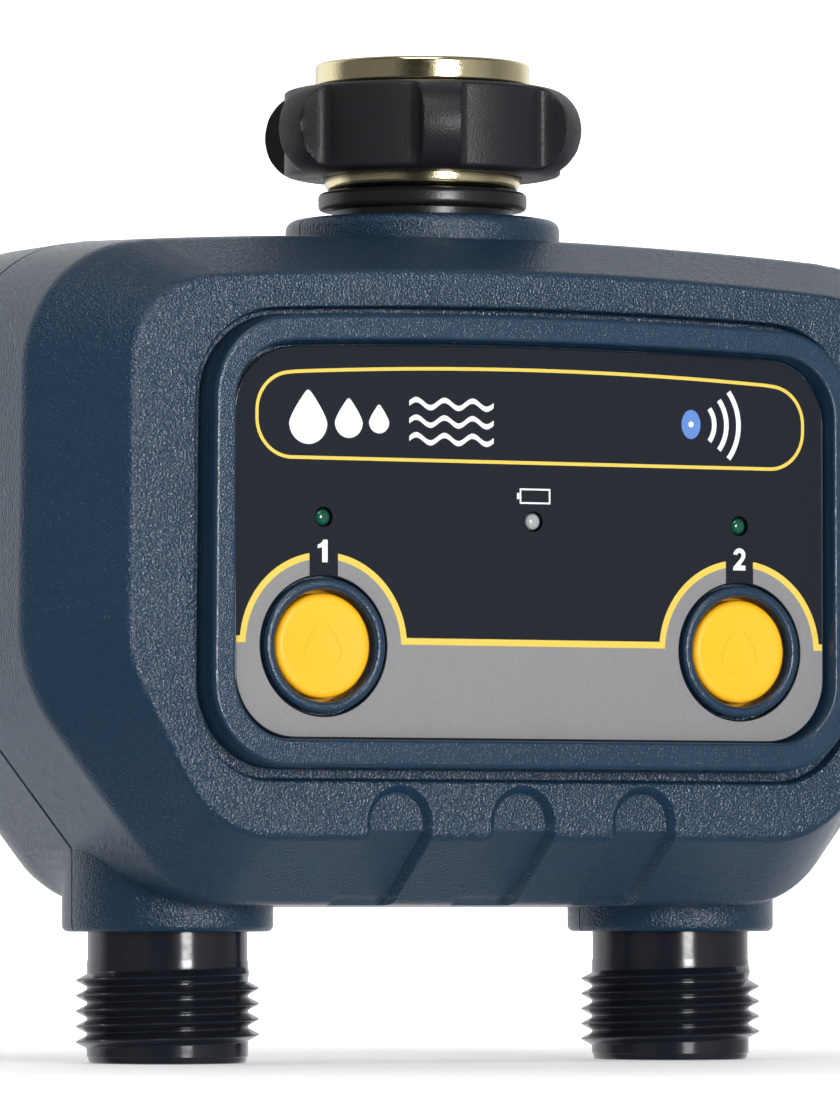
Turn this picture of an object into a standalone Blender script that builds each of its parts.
"""Two-outlet drip irrigation timer for a hose tap, as an assembly of its separate pieces.

Sizes are in millimetres and become metres in mesh(). X points right, Y back, Z up.
The origin is the bottom centre: Z 0 is the plane of the outlet tips, Y 0 the plane of the
inlet and outlet axes, which is also the parting line between the two housing shells.
"""

import math

import bmesh
import bpy
from mathutils import Vector

MM = 0.001
GAP = 0.3            # clearance between touching pieces
WALL = 2.3           # housing wall
WELD = 0.003         # points closer than this are one point after a Boolean

# hose thread, 3/4 inch, 11.5 turns per inch
PITCH = 25.4 / 11.5
THREAD_R = 13.2
ROOT_R = 11.6

# housing, depths measured in front of the parting plane
EDGE_DEPTH = 21.0
RING_DEPTH = 33.4
GROOVE_DEPTH = 31.5
BEZEL_DEPTH = 36.8
RECESS_DEPTH = 33.5
LABEL_DEPTH = 34.8
LABEL_THICK = 1.0
CAVITY_DEPTH = 29.3
POCKET_DEPTH = 31.2
REAR_DEPTH = 36.8
REAR_BEND = 16.8
REAR_INSIDE = 34.5

# outlets, boss and inlet
OUTLET_X = 41.2
BOSS_R = 15.2
BOSS_BOTTOM = 18.9
BOSS_TOP = 32.0
BOSS_BREAK = OUTLET_X + BOSS_R + 1.2
COLLAR_R = 20.05
COLLAR_TOP = 122.6
INLET_R = 13.15
NUT_BORE_R = 13.45
GRIP_SEAT_R = 14.6

# buttons and lamps
BUTTON_X = 33.55
BUTTON_Z = 59.25
BUTTON_R = 7.45
BUTTON_FRONT = -34.9
BUTTON_HOLE_R = 8.0
BUTTON_RING_R = 9.5
LAMP_Z = 77.4
LAMP_R = 1.15

# circuit board
BOARD_FRONT = 23.0
BOARD_BACK = 21.4

# valves and solenoids
VALVE_X = 47.5
VALVE_Z = 66.0
GALLERY_Z = 96.0     # axis of the manifold's cross tube

# battery bay
CELL_R = 7.1
CELL_LENGTH = 50.5
CELL_X = (-22.8, -7.6, 7.6, 22.8)
CELL_Y = 25.6
CELL_Z = 49.6
HINGE_Y = 35.0
HINGE_Z = 43.5

# screw posts: x, z, front end, rear end
POSTS = ((-56.0, 97.0, -30.0, 34.7), (56.0, 97.0, -30.0, 34.7),
         (-57.0, 48.5, -28.6, 31.5), (57.0, 48.5, -28.6, 31.5))
PILOT_R = 1.8
COUNTERBORE_Y = 27.5

# finger grooves under the front panel
ARCH_X = (-20.7, -1.0, 18.7)

# Outline corners from the top down: (x, z, radius, steps). The first z comes from the crown.
SEAM = dict(crown=(119.8, 800.0),
            corners=((74.3, None, 20.0, 5), (75.2, 54.0, 25.0, 3), (49.7, 22.4, 15.0, 4)))
EDGE = dict(crown=(118.8, 800.0),
            corners=((73.3, None, 19.0, 5), (74.2, 54.4, 24.0, 3), (49.4, 22.7, 15.0, 4)))
RING = dict(crown=(113.1, 630.0),
            corners=((62.5, None, 13.0, 5), (63.1, 57.0, 18.0, 3), (49.6, 32.2, 16.0, 4)))
BACK = dict(crown=(105.5, 800.0),
            corners=((55.0, None, 10.0, 5), (55.5, 58.0, 12.0, 3), (42.0, 40.0, 10.0, 4)))
GROOVE = dict(crown=(107.8, 900.0), corners=((52.5, None, 13.0, 5), (53.1, 40.3, 12.0, 5)))
BEZEL = dict(crown=(106.6, 900.0), corners=((51.3, None, 12.0, 5), (51.8, 42.1, 12.0, 5)))
RECESS = dict(crown=(103.0, 900.0), corners=((48.2, None, 9.0, 5), (48.3, 45.9, 9.0, 5)))
RECESS_FLOOR = dict(crown=(102.6, 900.0), corners=((47.9, None, 9.0, 5), (47.9, 45.75, 9.0, 5)))
LABEL = dict(crown=(102.25, 900.0), corners=((47.55, None, 9.4, 5), (47.55, 46.1, 9.4, 5)))
POCKET = dict(crown=(101.0, 900.0), corners=((45.0, None, 7.0, 3), (45.0, 48.5, 7.0, 3)))

# Node finishes: colour, roughness, metallic
NAVY = ((0.045, 0.075, 0.115), 0.45, 0.0)
BLACK_GLOSS = ((0.012, 0.012, 0.013), 0.22, 0.0)
BLACK_SOFT = ((0.03, 0.03, 0.032), 0.6, 0.0)
BRASS = ((0.78, 0.66, 0.38), 0.16, 1.0)
YELLOW = ((0.98, 0.6, 0.04), 0.4, 0.0)
GREEN_LENS = ((0.02, 0.2, 0.1), 0.15, 0.0)
WHITE_LENS = ((0.6, 0.62, 0.6), 0.2, 0.0)
SILICONE = ((0.75, 0.76, 0.74), 0.6, 0.0)
RUBBER = ((0.04, 0.04, 0.04), 0.75, 0.0)
NYLON = ((0.86, 0.86, 0.82), 0.5, 0.0)
STEEL = ((0.62, 0.62, 0.62), 0.3, 1.0)
COPPER = ((0.6, 0.25, 0.1), 0.35, 1.0)
BOARD = ((0.02, 0.22, 0.09), 0.5, 0.0)
CELL = ((0.07, 0.07, 0.075), 0.35, 0.0)
WIRE = ((0.6, 0.03, 0.03), 0.5, 0.0)


# ---------------------------------------------------------------- building blocks

def clear_scene():
    for old in list(bpy.data.objects):
        bpy.data.objects.remove(old)


def finish(name, look):
    colour, roughness, metallic = look
    material = bpy.data.materials.new(name)
    material.use_nodes = True
    shader = material.node_tree.nodes["Principled BSDF"]
    shader.inputs["Base Color"].default_value = (*colour, 1.0)
    shader.inputs["Roughness"].default_value = roughness
    shader.inputs["Metallic"].default_value = metallic
    return material


def mesh(name, points, faces, look=None):
    """An object from points in millimetres; its faces are turned outwards."""
    data = bpy.data.meshes.new(name)
    bm = bmesh.new()
    verts = [bm.verts.new(Vector(p) * MM) for p in points]
    for face in faces:
        bm.faces.new([verts[i] for i in face])
    bmesh.ops.recalc_face_normals(bm, faces=bm.faces)
    if bm.calc_volume(signed=True) < 0:
        bmesh.ops.reverse_faces(bm, faces=bm.faces)
    bm.to_mesh(data)
    bm.free()
    made = bpy.data.objects.new(name, data)
    bpy.context.scene.collection.objects.link(made)
    if look:
        data.materials.append(finish(name, look))
    return made


def combine(target, tool, operation):
    """Applies a Boolean of target with tool, and removes the tool."""
    change = target.modifiers.new("shape", "BOOLEAN")
    change.operation = operation
    change.solver = "EXACT"
    change.object = tool
    bpy.context.view_layer.update()
    depsgraph = bpy.context.evaluated_depsgraph_get()
    result = bpy.data.meshes.new_from_object(target.evaluated_get(depsgraph))
    bm = bmesh.new()
    bm.from_mesh(result)
    bmesh.ops.remove_doubles(bm, verts=bm.verts, dist=WELD * MM)
    bm.to_mesh(result)
    bm.free()
    target.modifiers.clear()
    target.data = result
    bpy.data.objects.remove(tool)
    return target


def cut(target, *tools):
    for tool in tools:
        combine(target, tool, "DIFFERENCE")
    return target


def join(target, *tools):
    for tool in tools:
        combine(target, tool, "UNION")
    return target


def smooth(made, degrees=35.0):
    made.data.shade_smooth()
    made.data.set_sharp_from_angle(angle=math.radians(degrees))
    return made


def pivot(made, point):
    """Moves an object's origin to a point, without moving its shape."""
    place = Vector(point) * MM
    for vertex in made.data.vertices:
        vertex.co -= place
    made.location = place
    return made


def loft(name, loops, look=None):
    """A closed body through loops of the same number of points, with flat ends."""
    count = len(loops[0])
    points = [p for loop in loops for p in loop]
    faces = [range(count), range(len(points) - count, len(points))]
    for k in range(len(loops) - 1):
        for i in range(count):
            j = (i + 1) % count
            faces.append((k * count + i, k * count + j, (k + 1) * count + j, (k + 1) * count + i))
    return mesh(name, points, faces, look)


def turned(name, profile, centre, axis="Z", steps=32, look=None):
    """A body of revolution from a closed profile of (radius, height along axis) points."""
    points = []
    rows = []
    for radius, height in profile:
        row = []
        for i in range(steps if radius > 0 else 1):
            a = 2 * math.pi * (i + 0.5) / steps
            u, v = radius * math.cos(a), radius * math.sin(a)
            local = (u, v, height) if axis == "Z" else (u, height, v)
            row.append(len(points))
            points.append(Vector(local) + Vector(centre))
        rows.append(row)
    faces = []
    for one, two in zip(rows, rows[1:] + rows[:1]):
        for i in range(steps):
            j = (i + 1) % steps
            ring = [one[i % len(one)], one[j % len(one)], two[j % len(two)], two[i % len(two)]]
            ring = list(dict.fromkeys(ring))
            if len(ring) > 2:
                faces.append(ring)
    return mesh(name, points, faces, look)


def rod(name, x, z, r, y0, y1, steps=24, look=None):
    """A cylinder along Y."""
    return turned(name, ((0, y0), (r, y0), (r, y1), (0, y1)), (x, 0, z), "Y", steps, look)


def pillar(name, x, y, r, z0, z1, steps=32, look=None):
    """A cylinder along Z."""
    return turned(name, ((0, z0), (r, z0), (r, z1), (0, z1)), (x, y, 0), "Z", steps, look)


def bar(name, y, z, r, x0, x1, steps=16, look=None):
    """A cylinder along X."""
    loops = []
    for x in (x0, x1):
        angles = [2 * math.pi * i / steps for i in range(steps)]
        loops.append([(x, y + r * math.cos(a), z + r * math.sin(a)) for a in angles])
    return loft(name, loops, look)


def block(name, x0, x1, y0, y1, z0, z1, look=None):
    loops = [[(x0, y0, z), (x1, y0, z), (x1, y1, z), (x0, y1, z)] for z in (z0, z1)]
    return loft(name, loops, look)


def half_round(name, x, r, z0, z1, side, steps=14):
    """Half a cylinder along Z, in front of (side -1) or behind (side 1) the parting plane."""
    arc = []
    for i in range(steps + 1):
        a = math.pi * i / steps
        arc.append((x + r * math.cos(a), side * max(r * math.sin(a), GAP / 2)))
    return loft(name, [[(u, v, z) for u, v in arc] for z in (z0, z1)])


# ---------------------------------------------------------------- outlines

def fillet(before, corner, after, radius, steps):
    """Points of the arc that rounds a corner."""
    c = Vector(corner)
    a = (Vector(before) - c).normalized()
    b = (Vector(after) - c).normalized()
    half = a.angle(b) / 2
    centre = c + (a + b).normalized() * radius / math.sin(half)
    start = c + a * radius / math.tan(half) - centre
    end = c + b * radius / math.tan(half) - centre
    turn = start.angle(end)
    side = math.copysign(1.0, start.x * end.y - start.y * end.x)
    points = []
    for i in range(steps + 1):
        t = side * turn * i / steps
        x = start.x * math.cos(t) - start.y * math.sin(t)
        z = start.x * math.sin(t) + start.y * math.cos(t)
        points.append(centre + Vector((x, z)))
    return points


def outline(crown, corners):
    """A symmetric closed outline: a shallow crowned top, then rounded corners down each side."""
    top, bow = crown
    x0, _, r0, _ = corners[0]

    def crown_z(x):
        return top - x * x / (2 * bow)

    half = [Vector((x0 * k / 4, crown_z(x0 * k / 4))) for k in range(3)]
    places = [Vector((x, crown_z(x) if z is None else z)) for x, z, _, _ in corners]
    foot = Vector((0.0, places[-1].y))
    for k, (_, _, radius, steps) in enumerate(corners):
        before = places[k - 1] if k else half[-1]
        after = places[k + 1] if k + 1 < len(places) else foot
        half += fillet(before, places[k], after, radius, steps)
    half.append(foot)
    return half + [Vector((-p.x, p.y)) for p in reversed(half[1:-1])]


def inset(loop, distance):
    """The outline moved inwards by a distance."""
    moved = []
    for i, p in enumerate(loop):
        a = (p - loop[i - 1]).normalized()
        b = (loop[(i + 1) % len(loop)] - p).normalized()
        normal = Vector((a.y + b.y, -a.x - b.x)).normalized()
        moved.append(p + normal * distance / math.cos(a.angle(b) / 2))
    return moved


def at(loop, y):
    return [(p.x, y, p.y) for p in loop]


def prism(name, shape, y0, y1):
    return loft(name, [at(outline(**shape), y0), at(outline(**shape), y1)])


# ---------------------------------------------------------------- housing

def add_bosses(shell, side):
    """Half of the top collar and of the two outlet bosses, with their bores."""
    join(shell, half_round("collar", 0.0, COLLAR_R, 117.7, COLLAR_TOP, side, 18))
    join(shell, half_round("neck", 0.0, 16.0, 112.0, 118.4, side))
    cut(shell, pillar("inlet_bore", 0.0, 0.0, INLET_R + GAP, 105.0, 130.0, 28))
    for x in (-OUTLET_X, OUTLET_X):
        join(shell, half_round("boss", x, BOSS_R, BOSS_BOTTOM, BOSS_TOP, side))
        cut(shell, pillar("outlet_bore", x, 0.0, 11.5 + GAP, 10.0, 40.0, 24))


def arch_cutter(x):
    """The finger groove: a round-topped slot that follows the ring and the lower chamfer."""
    half_width, top, depth = 5.1, 39.6, 1.3
    centre_z = top - half_width
    slot = []
    for i in range(9):
        a = math.pi * i / 8
        slot.append((x + half_width * math.cos(a), centre_z + half_width * math.sin(a)))
    slot += [(x - half_width, 18.0), (x + half_width, 18.0)]
    slot_body = loft("slot", [[(u, y, v) for u, v in slot] for y in (-12.0, -42.0)])
    ring_floor = depth - RING_DEPTH
    side = [(-45.0, 45.0), (ring_floor, 45.0), (ring_floor, 33.1), (-19.2, 22.9), (-19.2, 15.0),
            (-45.0, 15.0)]
    floor_body = loft("floor", [[(u, y, z) for y, z in side] for u in (x - 9.0, x + 9.0)])
    return combine(slot_body, floor_body, "INTERSECT")


def front_housing():
    seam, edge, ring = (outline(**s) for s in (SEAM, EDGE, RING))
    faces = [at(seam, -GAP / 2), at(edge, -EDGE_DEPTH), at(ring, -RING_DEPTH)]
    shell = loft("front_housing", faces, NAVY)
    cut(shell, prism("groove", GROOVE, -GROOVE_DEPTH, -40.0))
    join(shell, prism("bezel", BEZEL, -30.0, -BEZEL_DEPTH))
    floor = at(outline(**RECESS_FLOOR), -RECESS_DEPTH)
    mouth = at(outline(**RECESS), -BEZEL_DEPTH - 1.0)
    cut(shell, loft("recess", [floor, mouth]))
    inner_seam, inner_edge, inner_ring = inset(seam, WALL), inset(edge, WALL), inset(ring, 0.6)
    cavity = [at(inner_seam, 1.0), at(inner_seam, -GAP / 2), at(inner_edge, -20.1)]
    cut(shell, loft("cavity", cavity + [at(inner_ring, -CAVITY_DEPTH)]))
    cut(shell, prism("pocket", POCKET, -CAVITY_DEPTH + 1.0, -POCKET_DEPTH))
    add_bosses(shell, -1)
    for x, z, front_end, _ in POSTS:
        join(shell, rod("post", x, z, 3.5, front_end, -GAP - 0.3, 12))
        cut(shell, rod("pilot", x, z, PILOT_R, -22.0, 2.0, 8))
    for x in (-BUTTON_X, BUTTON_X):
        join(shell, rod("button_ring", x, BUTTON_Z, BUTTON_RING_R, -32.6, -35.6, 24))
        cut(shell, rod("button_hole", x, BUTTON_Z, BUTTON_HOLE_R, -28.0, -40.0, 24))
    for x in (-BUTTON_X, 0.0, BUTTON_X):
        cut(shell, rod("lamp_hole", x, LAMP_Z, LAMP_R + GAP, -28.0, -40.0, 10))
    for x in ARCH_X:
        cut(shell, arch_cutter(x))
    return smooth(shell)


def rounded_back(edge, back, y0, y1, steps):
    """Loops that bend round from the side wall to the flat back."""
    loops = []
    for k in range(1, steps + 1):
        t = math.pi / 2 * k / steps
        loop = [a.lerp(b, 1 - math.cos(t)) for a, b in zip(edge, back)]
        loops.append(at(loop, y0 + (y1 - y0) * math.sin(t)))
    return loops


def rear_housing():
    seam, back = outline(**SEAM), outline(**BACK)
    outer = [at(seam, GAP / 2), at(seam, REAR_BEND)] + rounded_back(seam, back, REAR_BEND, REAR_DEPTH, 5)
    shell = loft("rear_housing", outer, NAVY)
    inner_seam, inner_back = inset(seam, WALL), inset(back, 0.4)
    inner = [at(inner_seam, -1.0), at(inner_seam, REAR_BEND)]
    inner += rounded_back(inner_seam, inner_back, REAR_BEND, REAR_INSIDE, 5)
    cut(shell, loft("cavity", inner))
    add_bosses(shell, 1)
    for x, z, _, rear_end in POSTS:
        join(shell, rod("post", x, z, 4.6, GAP + 0.3, rear_end, 12))
        cut(shell, rod("screw_hole", x, z, PILOT_R, -2.0, 30.0, 8))
        cut(shell, rod("counterbore", x, z, 3.8, COUNTERBORE_Y, 45.0, 14))
    cut(shell, block("door_opening", -36.3, 36.3, 30.0, 45.0, 41.2, 102.3))
    trough = block("trough", -39.4, 39.4, 31.2, 35.6, 39.2, 45.4)
    cut(trough, block("trough_hollow", -36.3, 36.3, 32.4, 40.0, 41.2, 50.0))
    join(shell, trough)
    cut(shell, bar("hinge_hole", HINGE_Y, HINGE_Z, 0.9, -38.6, 38.6, 10))
    return smooth(shell)


def seal_strips():
    """The gasket strips just inside the parting line, broken by the inlet and the outlets."""
    seam = outline(**SEAM)
    outer, inner = inset(seam, WALL + GAP), inset(seam, WALL + GAP + 1.2)
    strips = dict(housing_seal_left=(-90.0, -16.6), housing_seal_right=(16.6, 90.0),
                  housing_seal_bottom=(-25.9, 25.9))
    for name, (x0, x1) in strips.items():
        ring = loft(name, [at(outer, -2.0), at(outer, 2.0)], RUBBER)
        cut(ring, loft("inside", [at(inner, -3.0), at(inner, 3.0)]))
        if name == "housing_seal_bottom":
            combine(ring, block("keep", x0, x1, -5.0, 5.0, 10.0, 40.0), "INTERSECT")
        else:
            combine(ring, block("keep", x0, x1, -5.0, 5.0, 10.0, 130.0), "INTERSECT")
            cut(ring, block("outlet_break", -BOSS_BREAK, BOSS_BREAK, -5.0, 5.0, 10.0, 35.0))
        smooth(ring)


# ---------------------------------------------------------------- front panel

def faceplate_label():
    faces = [at(outline(**LABEL), -LABEL_DEPTH), at(outline(**LABEL), LABEL_THICK - LABEL_DEPTH)]
    label = loft("faceplate_label", faces, BLACK_GLOSS)
    for x in (-BUTTON_X, BUTTON_X):
        cut(label, rod("button_window", x, BUTTON_Z, BUTTON_RING_R + 0.35, -40.0, -30.0, 24))
    for x in (-BUTTON_X, 0.0, BUTTON_X):
        cut(label, rod("lamp_window", x, LAMP_Z, LAMP_R + GAP, -40.0, -30.0, 10))
    return smooth(label)


def lamps():
    for name, x in (("led_lens_1", -BUTTON_X), ("led_lens_battery", 0.0), ("led_lens_2", BUTTON_X)):
        look = WHITE_LENS if x == 0.0 else GREEN_LENS
        profile = ((0, -LABEL_DEPTH), (0.7, -34.75), (LAMP_R, -34.4), (LAMP_R, -29.0))
        profile += ((1.8, -28.7), (1.8, -23.6), (0, -23.6))
        smooth(turned(name, profile, (x, 0, LAMP_Z), "Y", 10, look))


def buttons():
    for name, x in (("button_1", -BUTTON_X), ("button_2", BUTTON_X)):
        front = BUTTON_FRONT
        profile = ((0, front), (BUTTON_R - 1.2, front), (BUTTON_R - 0.35, front + 0.3))
        profile += ((BUTTON_R, front + 1.1), (BUTTON_R, -30.9), (8.9, -30.9), (8.9, -29.7), (2.0, -29.7))
        profile += ((2.0, -28.8), (0, -28.8))
        cap = turned(name, profile, (x, 0, BUTTON_Z), "Y", 24, YELLOW)
        pivot(smooth(cap), (x, front, BUTTON_Z))
    for name, x in (("button_boot_1", -BUTTON_X), ("button_boot_2", BUTTON_X)):
        profile = ((4.2, -29.4), (6.0, -29.4), (6.6, -26.4), (8.4, -24.6), (8.8, -23.3))
        profile += ((6.4, -23.3), (5.8, -25.4))
        smooth(turned(name, profile, (x, 0, BUTTON_Z), "Y", 16, SILICONE))


def electronics():
    board = block("circuit_board", -51.5, 51.5, -BOARD_FRONT, -BOARD_BACK, 48.0, 100.0, BOARD)
    for x in (-BUTTON_X, BUTTON_X):
        for u in (-17.0, 17.0):
            cut(board, rod("board_hole", x + u * 0.9, 96.5, 1.6, -30.0, -15.0, 10))
    for name, x in (("tact_switch_1", -BUTTON_X), ("tact_switch_2", BUTTON_X)):
        z0, z1 = BUTTON_Z - 3, BUTTON_Z + 3
        switch = block(name, x - 3, x + 3, -26.5, -BOARD_FRONT - GAP, z0, z1, BLACK_SOFT)
        join(switch, rod("stem", x, BUTTON_Z, 1.75, -27.7, -26.0, 12))
    radio = block("wireless_module", -9.0, 9.0, -25.6, -BOARD_FRONT - GAP, 86.0, 98.0, STEEL)
    cut(radio, block("antenna_step", -12.0, 12.0, -30.0, -24.4, 94.0, 99.0))


# ---------------------------------------------------------------- inlet

def threaded(name, rows, thread, centre, steps, look):
    """A turned tube whose wall carries a helical thread between two of its profile points.

    rows is the closed profile. thread is (index of the row before the thread, low z, turns,
    root radius, crest radius). The ridge runs up like a right-hand screw and fades at both ends.
    """
    index, low, turns, root, crest = thread
    shape = ((0.0, 0.0), (0.43, 1.0), (0.53, 1.0), (0.96, 0.0))
    points = []
    faces = []

    def add(r, a, z):
        points.append((centre[0] + r * math.cos(a), centre[1] + r * math.sin(a), z))
        return len(points) - 1

    rings = [[add(r, 2 * math.pi * i / steps, z) for i in range(steps)] for r, z in rows]
    per_turn = len(shape)
    total = turns * per_turn
    grid = []
    for j in range(total + 1):
        line = []
        for i in range(steps):
            wound = (j // per_turn) + i / steps
            fade = max(0.0, min(1.0, wound / 0.35, (turns - 0.02 - wound) / 0.35))
            part, height = shape[j % per_turn]
            z = low + (wound + part) * PITCH
            line.append(add(root + (crest - root) * height * fade, 2 * math.pi * i / steps, z))
        grid.append(line)
    for j in range(total):
        for i in range(steps - 1):
            faces.append((grid[j][i], grid[j][i + 1], grid[j + 1][i + 1], grid[j + 1][i]))
        if j + 1 + per_turn <= total:
            faces.append((grid[j][-1], grid[j + per_turn][0], grid[j + per_turn + 1][0], grid[j + 1][-1]))
    below, above = rings[index], rings[index + 1]
    for i in range(steps - 1):
        faces.append((below[i], below[i + 1], grid[0][i + 1], grid[0][i]))
        faces.append((grid[total][i], grid[total][i + 1], above[i + 1], above[i]))
    first = [grid[j][0] for j in range(per_turn + 1)]
    last = [grid[j][-1] for j in range(total - per_turn, total + 1)]
    faces.append([below[-1], below[0]] + first + [grid[0][-1]])
    faces.append([above[0], above[-1]] + list(reversed(last)) + [grid[total][0]])
    for k in range(len(rings)):
        if k != index:
            one, two = rings[k], rings[(k + 1) % len(rings)]
            for i in range(steps):
                j = (i + 1) % steps
                faces.append((one[i], one[j], two[j], two[i]))
    return mesh(name, points, faces, look)


def inlet_fitting():
    profile = ((8.0, 100.0), (10.0, 100.0), (10.0, 109.6), (15.4, 109.6), (15.4, 111.6))
    profile += ((INLET_R, 111.6), (INLET_R, 124.1), (14.8, 124.1), (15.25, 124.6), (15.25, 126.2))
    profile += ((14.8, 126.7), (10.75, 126.7), (10.75, 129.5), (12.2, 129.5), (12.2, 132.5), (8.0, 132.5))
    return smooth(turned("inlet_fitting", profile, (0, 0, 0), "Z", 24, BLACK_SOFT))


def inlet_nut():
    rows = ((11.1, 129.2), (NUT_BORE_R, 129.2), (NUT_BORE_R, 136.6), (NUT_BORE_R, 145.1), (13.7, 145.6))
    rows += ((15.1, 145.6), (15.7, 145.0), (15.7, 142.6), (15.3, 142.2), (14.3, 142.2), (14.3, 128.2))
    rows += ((13.2, 127.0), (11.1, 127.0))
    thread = (2, 137.2, 2, NUT_BORE_R, 12.6)
    nut = threaded("inlet_nut", rows, thread, (0, 0), 24, BRASS)
    return smooth(nut, 30)


def inlet_grip():
    """A ring with a round rim, cut back between its six narrow lobes."""
    rim_r, rim_round, mid_z, waist_r = 17.7, 6.5, 135.4, 20.2
    first_lobe = -110.2
    foot, brink = 8.6, 6.9
    loops = []
    for tilt in (-90, -65, -40, -15, 15, 40, 65, 90):
        rim = rim_r + rim_round * math.cos(math.radians(tilt))
        z = mid_z + rim_round * math.sin(math.radians(tilt))
        row = []
        for lobe in range(6):
            turns = ((-foot, waist_r), (-brink, rim), (0.0, rim), (brink, rim), (foot, waist_r))
            turns += ((19.2, waist_r), (30.0, waist_r), (40.8, waist_r))
            for turn, reach in turns:
                a = math.radians(first_lobe + 60 * lobe + turn)
                r = min(rim, reach)
                row.append((r * math.cos(a), r * math.sin(a), z))
        loops.append(row)
    grip = loft("inlet_grip", loops, BLACK_SOFT)
    cut(grip, pillar("nut_seat", 0.0, 0.0, GRIP_SEAT_R, 120.0, 150.0, 28))
    return smooth(grip)


def filter_washer():
    profile = ((7.0, 118.0), (7.4, 118.4), (7.4, 132.8), (12.1, 132.8), (12.1, 135.6), (8.0, 135.6))
    profile += ((6.7, 134.4), (6.7, 119.0), (0, 119.0), (0, 118.0))
    return smooth(turned("filter_washer", profile, (0, 0, 0), "Z", 20, RUBBER))


# ---------------------------------------------------------------- water path

def manifold():
    body = bar("manifold", 0.0, GALLERY_Z, 9.0, -50.0, 50.0, 16, NYLON)
    join(body, pillar("socket", 0.0, 0.0, 12.5, GALLERY_Z, 109.0, 20))
    for x in (-OUTLET_X, OUTLET_X):
        join(body, pillar("leg", x, 0.0, 7.0, 82.0, GALLERY_Z, 14))
    cut(body, bar("gallery", 0.0, GALLERY_Z, 6.0, -46.0, 46.0, 12))
    cut(body, pillar("well", 0.0, 0.0, 10.3, 99.7, 112.0, 20))
    cut(body, pillar("throat", 0.0, 0.0, 7.5, GALLERY_Z, 103.0, 16))
    for x in (-OUTLET_X, OUTLET_X):
        cut(body, pillar("leg_bore", x, 0.0, 4.8, 78.0, GALLERY_Z, 10))
    return smooth(body)


def valve(side, number):
    """One diaphragm valve with its latching solenoid. side is -1 for left, 1 for right."""
    x, leg = side * VALVE_X, side * OUTLET_X
    body = rod(f"valve_body_{number}", x, VALVE_Z, 14.0, -9.0, 11.0, 24, NYLON)
    join(body, pillar("inlet_leg", leg, 0.0, 9.5, 70.0, 86.6, 16))
    join(body, pillar("outlet_leg", leg, 0.0, 11.0, 36.0, 56.0, 20))
    cut(body, rod("chamber", x, VALVE_Z, 12.0, 5.5, 13.0, 20))
    join(body, rod("seat", x, VALVE_Z, 6.0, 4.0, 9.0, 16))
    cut(body, rod("seat_bore", x, VALVE_Z, 4.0, -4.0, 10.0, 12))
    cut(body, pillar("inlet_socket", leg, 0.0, 7.3, 81.5, 90.0, 16))
    cut(body, pillar("inlet_way", leg, 0.0, 4.5, 72.5, 83.0, 12))
    cut(body, rod("crossing", leg, 75.3, 2.8, 0.0, 7.0, 10))
    cut(body, pillar("outlet_socket", leg, 0.0, 8.3, 34.0, 44.8, 16))
    cut(body, pillar("outlet_way", leg, 0.0, 4.5, 40.0, 66.0, 12))
    smooth(body)

    profile = ((0, 9.3), (6.5, 9.3), (6.9, 11.3), (13.4, 11.3), (13.4, 12.5), (0, 12.5))
    smooth(turned(f"diaphragm_{number}", profile, (x, 0, VALVE_Z), "Y", 20, RUBBER))

    profile = ((10.0, 12.8), (14.0, 12.8), (14.0, 17.5), (4.3, 17.5), (4.3, 31.8), (0, 31.8))
    profile += ((0, 29.6), (3.3, 29.6), (3.3, 15.3), (10.0, 15.3))
    smooth(turned(f"valve_bonnet_{number}", profile, (x, 0, VALVE_Z), "Y", 20, NYLON))

    profile = ((4.7, 19.3), (9.7, 19.3), (9.7, 20.3), (8.9, 20.4), (8.9, 28.9), (9.7, 29.0))
    profile += ((9.7, 30.0), (4.7, 30.0))
    smooth(turned(f"solenoid_coil_{number}", profile, (x, 0, VALVE_Z), "Y", 16, COPPER))

    z0, z1 = VALVE_Z - 7, VALVE_Z + 7
    frame = block(f"solenoid_frame_{number}", x - 11.2, x + 11.2, 17.8, 31.5, z0, z1, STEEL)
    cut(frame, block("frame_hollow", x - 10.1, x + 10.1, 19.0, 30.3, z0 - 2, z1 + 2))
    cut(frame, rod("core_hole", x, VALVE_Z, 4.6, 10.0, 40.0, 20))

    profile = ((0, 12.8), (1.6, 12.8), (3.0, 13.8), (3.0, 24.0), (1.2, 24.0), (1.2, 26.0), (0, 26.0))
    plunger = turned(f"solenoid_plunger_{number}", profile, (x, 0, VALVE_Z), "Y", 12, STEEL)
    pivot(smooth(plunger), (x, 12.8, VALVE_Z))
    coil_spring(f"plunger_spring_{number}", (x, VALVE_Z), 2.25, 0.35, 24.75, 28.85, 4)


def coil_spring(name, centre, radius, wire, y0, y1, turns):
    """A compression spring along Y, as a wire swept along its helix."""
    steps, sides = turns * 8, 4
    loops = []
    for k in range(steps + 1):
        a = 2 * math.pi * turns * k / steps
        y = y0 + (y1 - y0) * k / steps
        loop = []
        for s in range(sides):
            b = 2 * math.pi * s / sides
            r = radius + wire * math.cos(b)
            u, v = r * math.cos(a), r * math.sin(a)
            loop.append((centre[0] + u, y + wire * math.sin(b), centre[1] + v))
        loops.append(loop)
    return smooth(loft(name, loops, STEEL))


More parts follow.
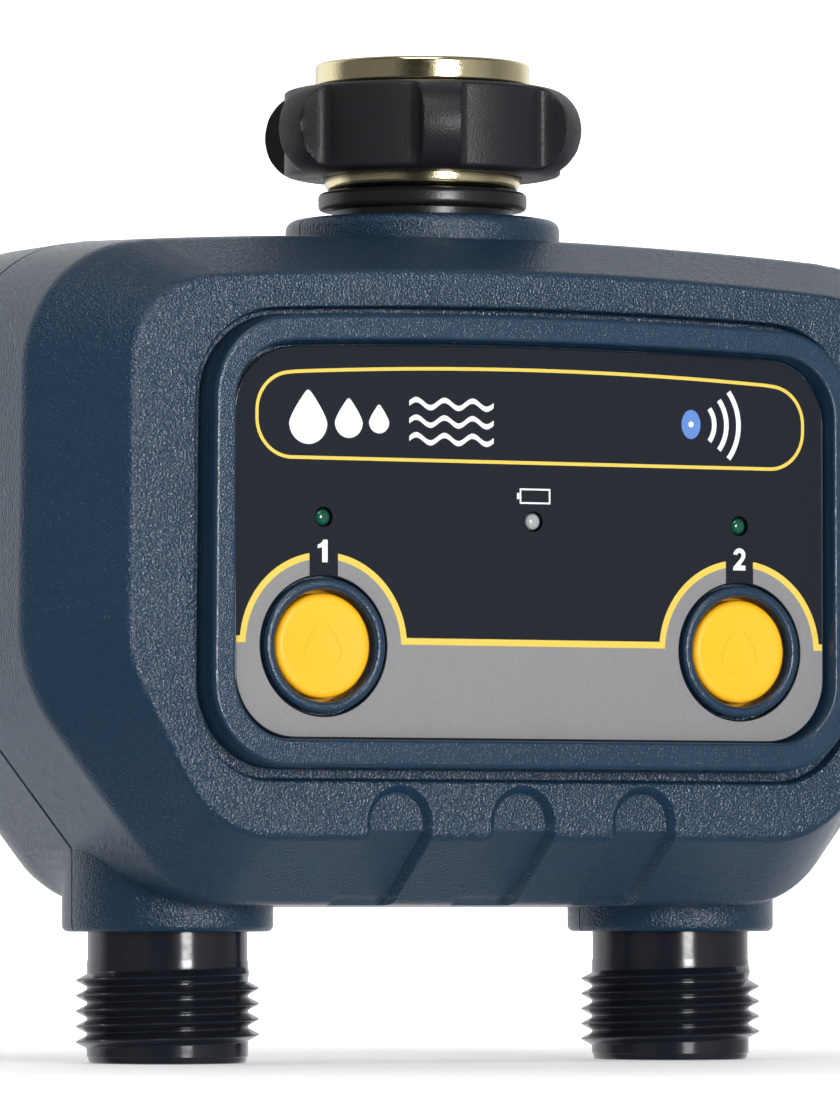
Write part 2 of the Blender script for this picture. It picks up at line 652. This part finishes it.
def outlet(x, number):
    """The black outlet with its male hose thread, and the seal ring on its upper spigot."""
    rows = ((9.3, 0.0), (11.0, 0.0), (11.4, 0.5), (ROOT_R, 1.0), (ROOT_R, 14.5), (11.5, 14.9))
    rows += ((11.5, 32.3), (12.9, 32.3), (12.9, 34.3), (8.0, 34.3), (8.0, 39.2), (6.2, 39.2))
    rows += ((6.2, 41.6), (8.0, 41.6), (8.0, 44.0), (7.6, 44.4), (4.5, 44.4), (4.5, 30.0), (9.3, 28.0))
    thread = (3, 1.1, 5, ROOT_R, THREAD_R)
    smooth(threaded(f"outlet_fitting_{number}", rows, thread, (x, 0), 20, BLACK_GLOSS), 30)
    ring = []
    for i in range(6):
        a = 2 * math.pi * i / 6
        ring.append((7.25 + 0.72 * math.cos(a), 40.4 + 0.72 * math.sin(a)))
    smooth(turned(f"outlet_oring_{number}", ring, (x, 0, 0), "Z", 16, RUBBER), 60)


# ---------------------------------------------------------------- battery bay

def battery_tray():
    tray = block("battery_tray", -33.0, 33.0, 16.6, 33.6, 46.0, 103.2, BLACK_SOFT)
    join(tray, block("flange", -37.6, 37.6, 32.4, 33.6, 46.0, 104.4))
    cut(tray, block("hollow", -31.4, 31.4, 18.1, 40.0, 47.6, 101.6))
    for x in (-15.2, 0.0, 15.2):
        join(tray, block("rib", x - 0.5, x + 0.5, 17.8, 20.2, 50.0, 99.0))
    return tray


def battery(number):
    x = CELL_X[number - 1]
    up = number % 2 == 1
    profile = ((0, 0.0), (6.6, 0.0), (CELL_R, 0.5), (CELL_R, 48.6), (6.6, 49.1), (2.75, 49.1))
    profile += ((2.75, CELL_LENGTH), (0, CELL_LENGTH))
    if not up:
        profile = tuple((r, CELL_LENGTH - z) for r, z in profile)
    moved = tuple((r, z + CELL_Z) for r, z in profile)
    return smooth(turned(f"battery_{number}", moved, (x, CELL_Y, 0), "Z", 16, CELL))


def battery_contacts():
    top, low = CELL_Z + CELL_LENGTH + GAP, CELL_Z - GAP
    spans = dict(battery_contact_top_1=(-28.0, -2.0, 1), battery_contact_top_2=(2.0, 28.0, 1),
                 battery_contact_neg=(-28.0, -17.6, -1), battery_contact_mid=(-12.8, 12.8, -1),
                 battery_contact_pos=(17.6, 28.0, -1))
    for name, (x0, x1, end) in spans.items():
        z0, z1 = (top, top + 0.6) if end > 0 else (low - 0.6, low)
        plate = block(name, x0, x1, 20.6, 30.6, z0, z1, STEEL)
        slit_z = (z0 - 1.0, z1 + 1.0)
        cut(plate, block("slit", x0 + 2.0, x0 + 6.4, 24.0, 24.8, *slit_z))


def battery_door():
    door = block("battery_door", -36.0, 36.0, 35.2, REAR_DEPTH, HINGE_Z, 102.0, NAVY)
    join(door, bar("barrel", HINGE_Y, HINGE_Z, 1.6, -36.0, 36.0, 16))
    cut(door, bar("scoop", 45.8, 96.0, 10.0, -12.0, 12.0, 32))
    cut(door, bar("pin_hole", HINGE_Y, HINGE_Z, 0.9, -40.0, 40.0, 10))
    pivot(smooth(door), (0.0, HINGE_Y, HINGE_Z))

    seal = block("battery_door_seal", -35.4, 35.4, 33.9, 34.9, 47.2, 101.6, RUBBER)
    cut(seal, block("window", -32.6, 32.6, 30.0, 40.0, 50.0, 99.0))
    smooth(bar("door_hinge_pin", HINGE_Y, HINGE_Z, 0.6, -38.2, 38.2, 10, STEEL))


def housing_screws():
    for number, (x, z, _, _) in enumerate(POSTS, 1):
        seat = COUNTERBORE_Y + GAP
        profile = ((0, -18.0), (0.4, -18.0), (1.5, -15.5), (1.5, seat), (3.4, seat))
        profile += ((3.4, 29.2), (2.6, 30.0), (0, 30.0))
        screw = turned(f"housing_screw_{number}", profile, (x, 0, z), "Y", 10, STEEL)
        cut(screw, block("slot_a", x - 1.7, x + 1.7, 29.0, 32.0, z - 0.4, z + 0.4))
        cut(screw, block("slot_b", x - 0.4, x + 0.4, 29.0, 32.0, z - 1.7, z + 1.7))
        smooth(screw)


def lead(name, points, radius, look):
    """A wire swept along a smooth curve through its route's points."""
    steps, sides = 4, 6
    route = [Vector(p) for p in points]
    ends = [2 * route[0] - route[1]] + route + [2 * route[-1] - route[-2]]
    path = []
    for k in range(1, len(ends) - 2):
        a, b, c, d = ends[k - 1:k + 3]
        for i in range(steps):
            t = i / steps
            path.append(0.5 * (2 * b + (c - a) * t + (2 * a - 5 * b + 4 * c - d) * t * t
                               + (3 * b - a - 3 * c + d) * t * t * t))
    path.append(route[-1])
    steep = abs((path[1] - path[0]).normalized().z) > 0.8
    across = Vector((1, 0, 0)) if steep else Vector((0.3, 0.1, 0.95))
    loops = []
    for k, p in enumerate(path):
        along = (path[min(k + 1, len(path) - 1)] - path[max(k - 1, 0)]).normalized()
        u = (across - along * across.dot(along)).normalized()
        v = along.cross(u)
        across = u
        angles = [2 * math.pi * s / sides for s in range(sides)]
        loops.append([p + radius * (u * math.cos(a) + v * math.sin(a)) for a in angles])
    return smooth(loft(name, loops, look), 60)


def wiring():
    for number, side in ((1, -1), (2, 1)):
        route = ((47.5, 24.6, 76.2), (48.0, 24.0, 81.0), (55.5, 17.0, 85.0), (61.0, 3.0, 85.5))
        route += ((58.5, -11.0, 84.0), (49.0, -15.5, 82.5), (45.0, -20.6, 82.0))
        lead(f"solenoid_lead_{number}", [(side * x, y, z) for x, y, z in route], 0.9, WIRE)
    route = ((18.0, 16.2, 62.0), (18.0, 9.0, 60.5), (19.5, -8.0, 60.0), (20.0, -20.8, 61.0))
    lead("battery_lead", route, 1.1, WIRE)


def build():
    clear_scene()
    front_housing()
    rear_housing()
    seal_strips()
    faceplate_label()
    lamps()
    buttons()
    electronics()
    inlet_fitting()
    inlet_nut()
    inlet_grip()
    filter_washer()
    manifold()
    for number, side in ((1, -1), (2, 1)):
        valve(side, number)
        outlet(side * OUTLET_X, number)
    battery_tray()
    for number in (1, 2, 3, 4):
        battery(number)
    battery_contacts()
    battery_door()
    housing_screws()
    wiring()


build()
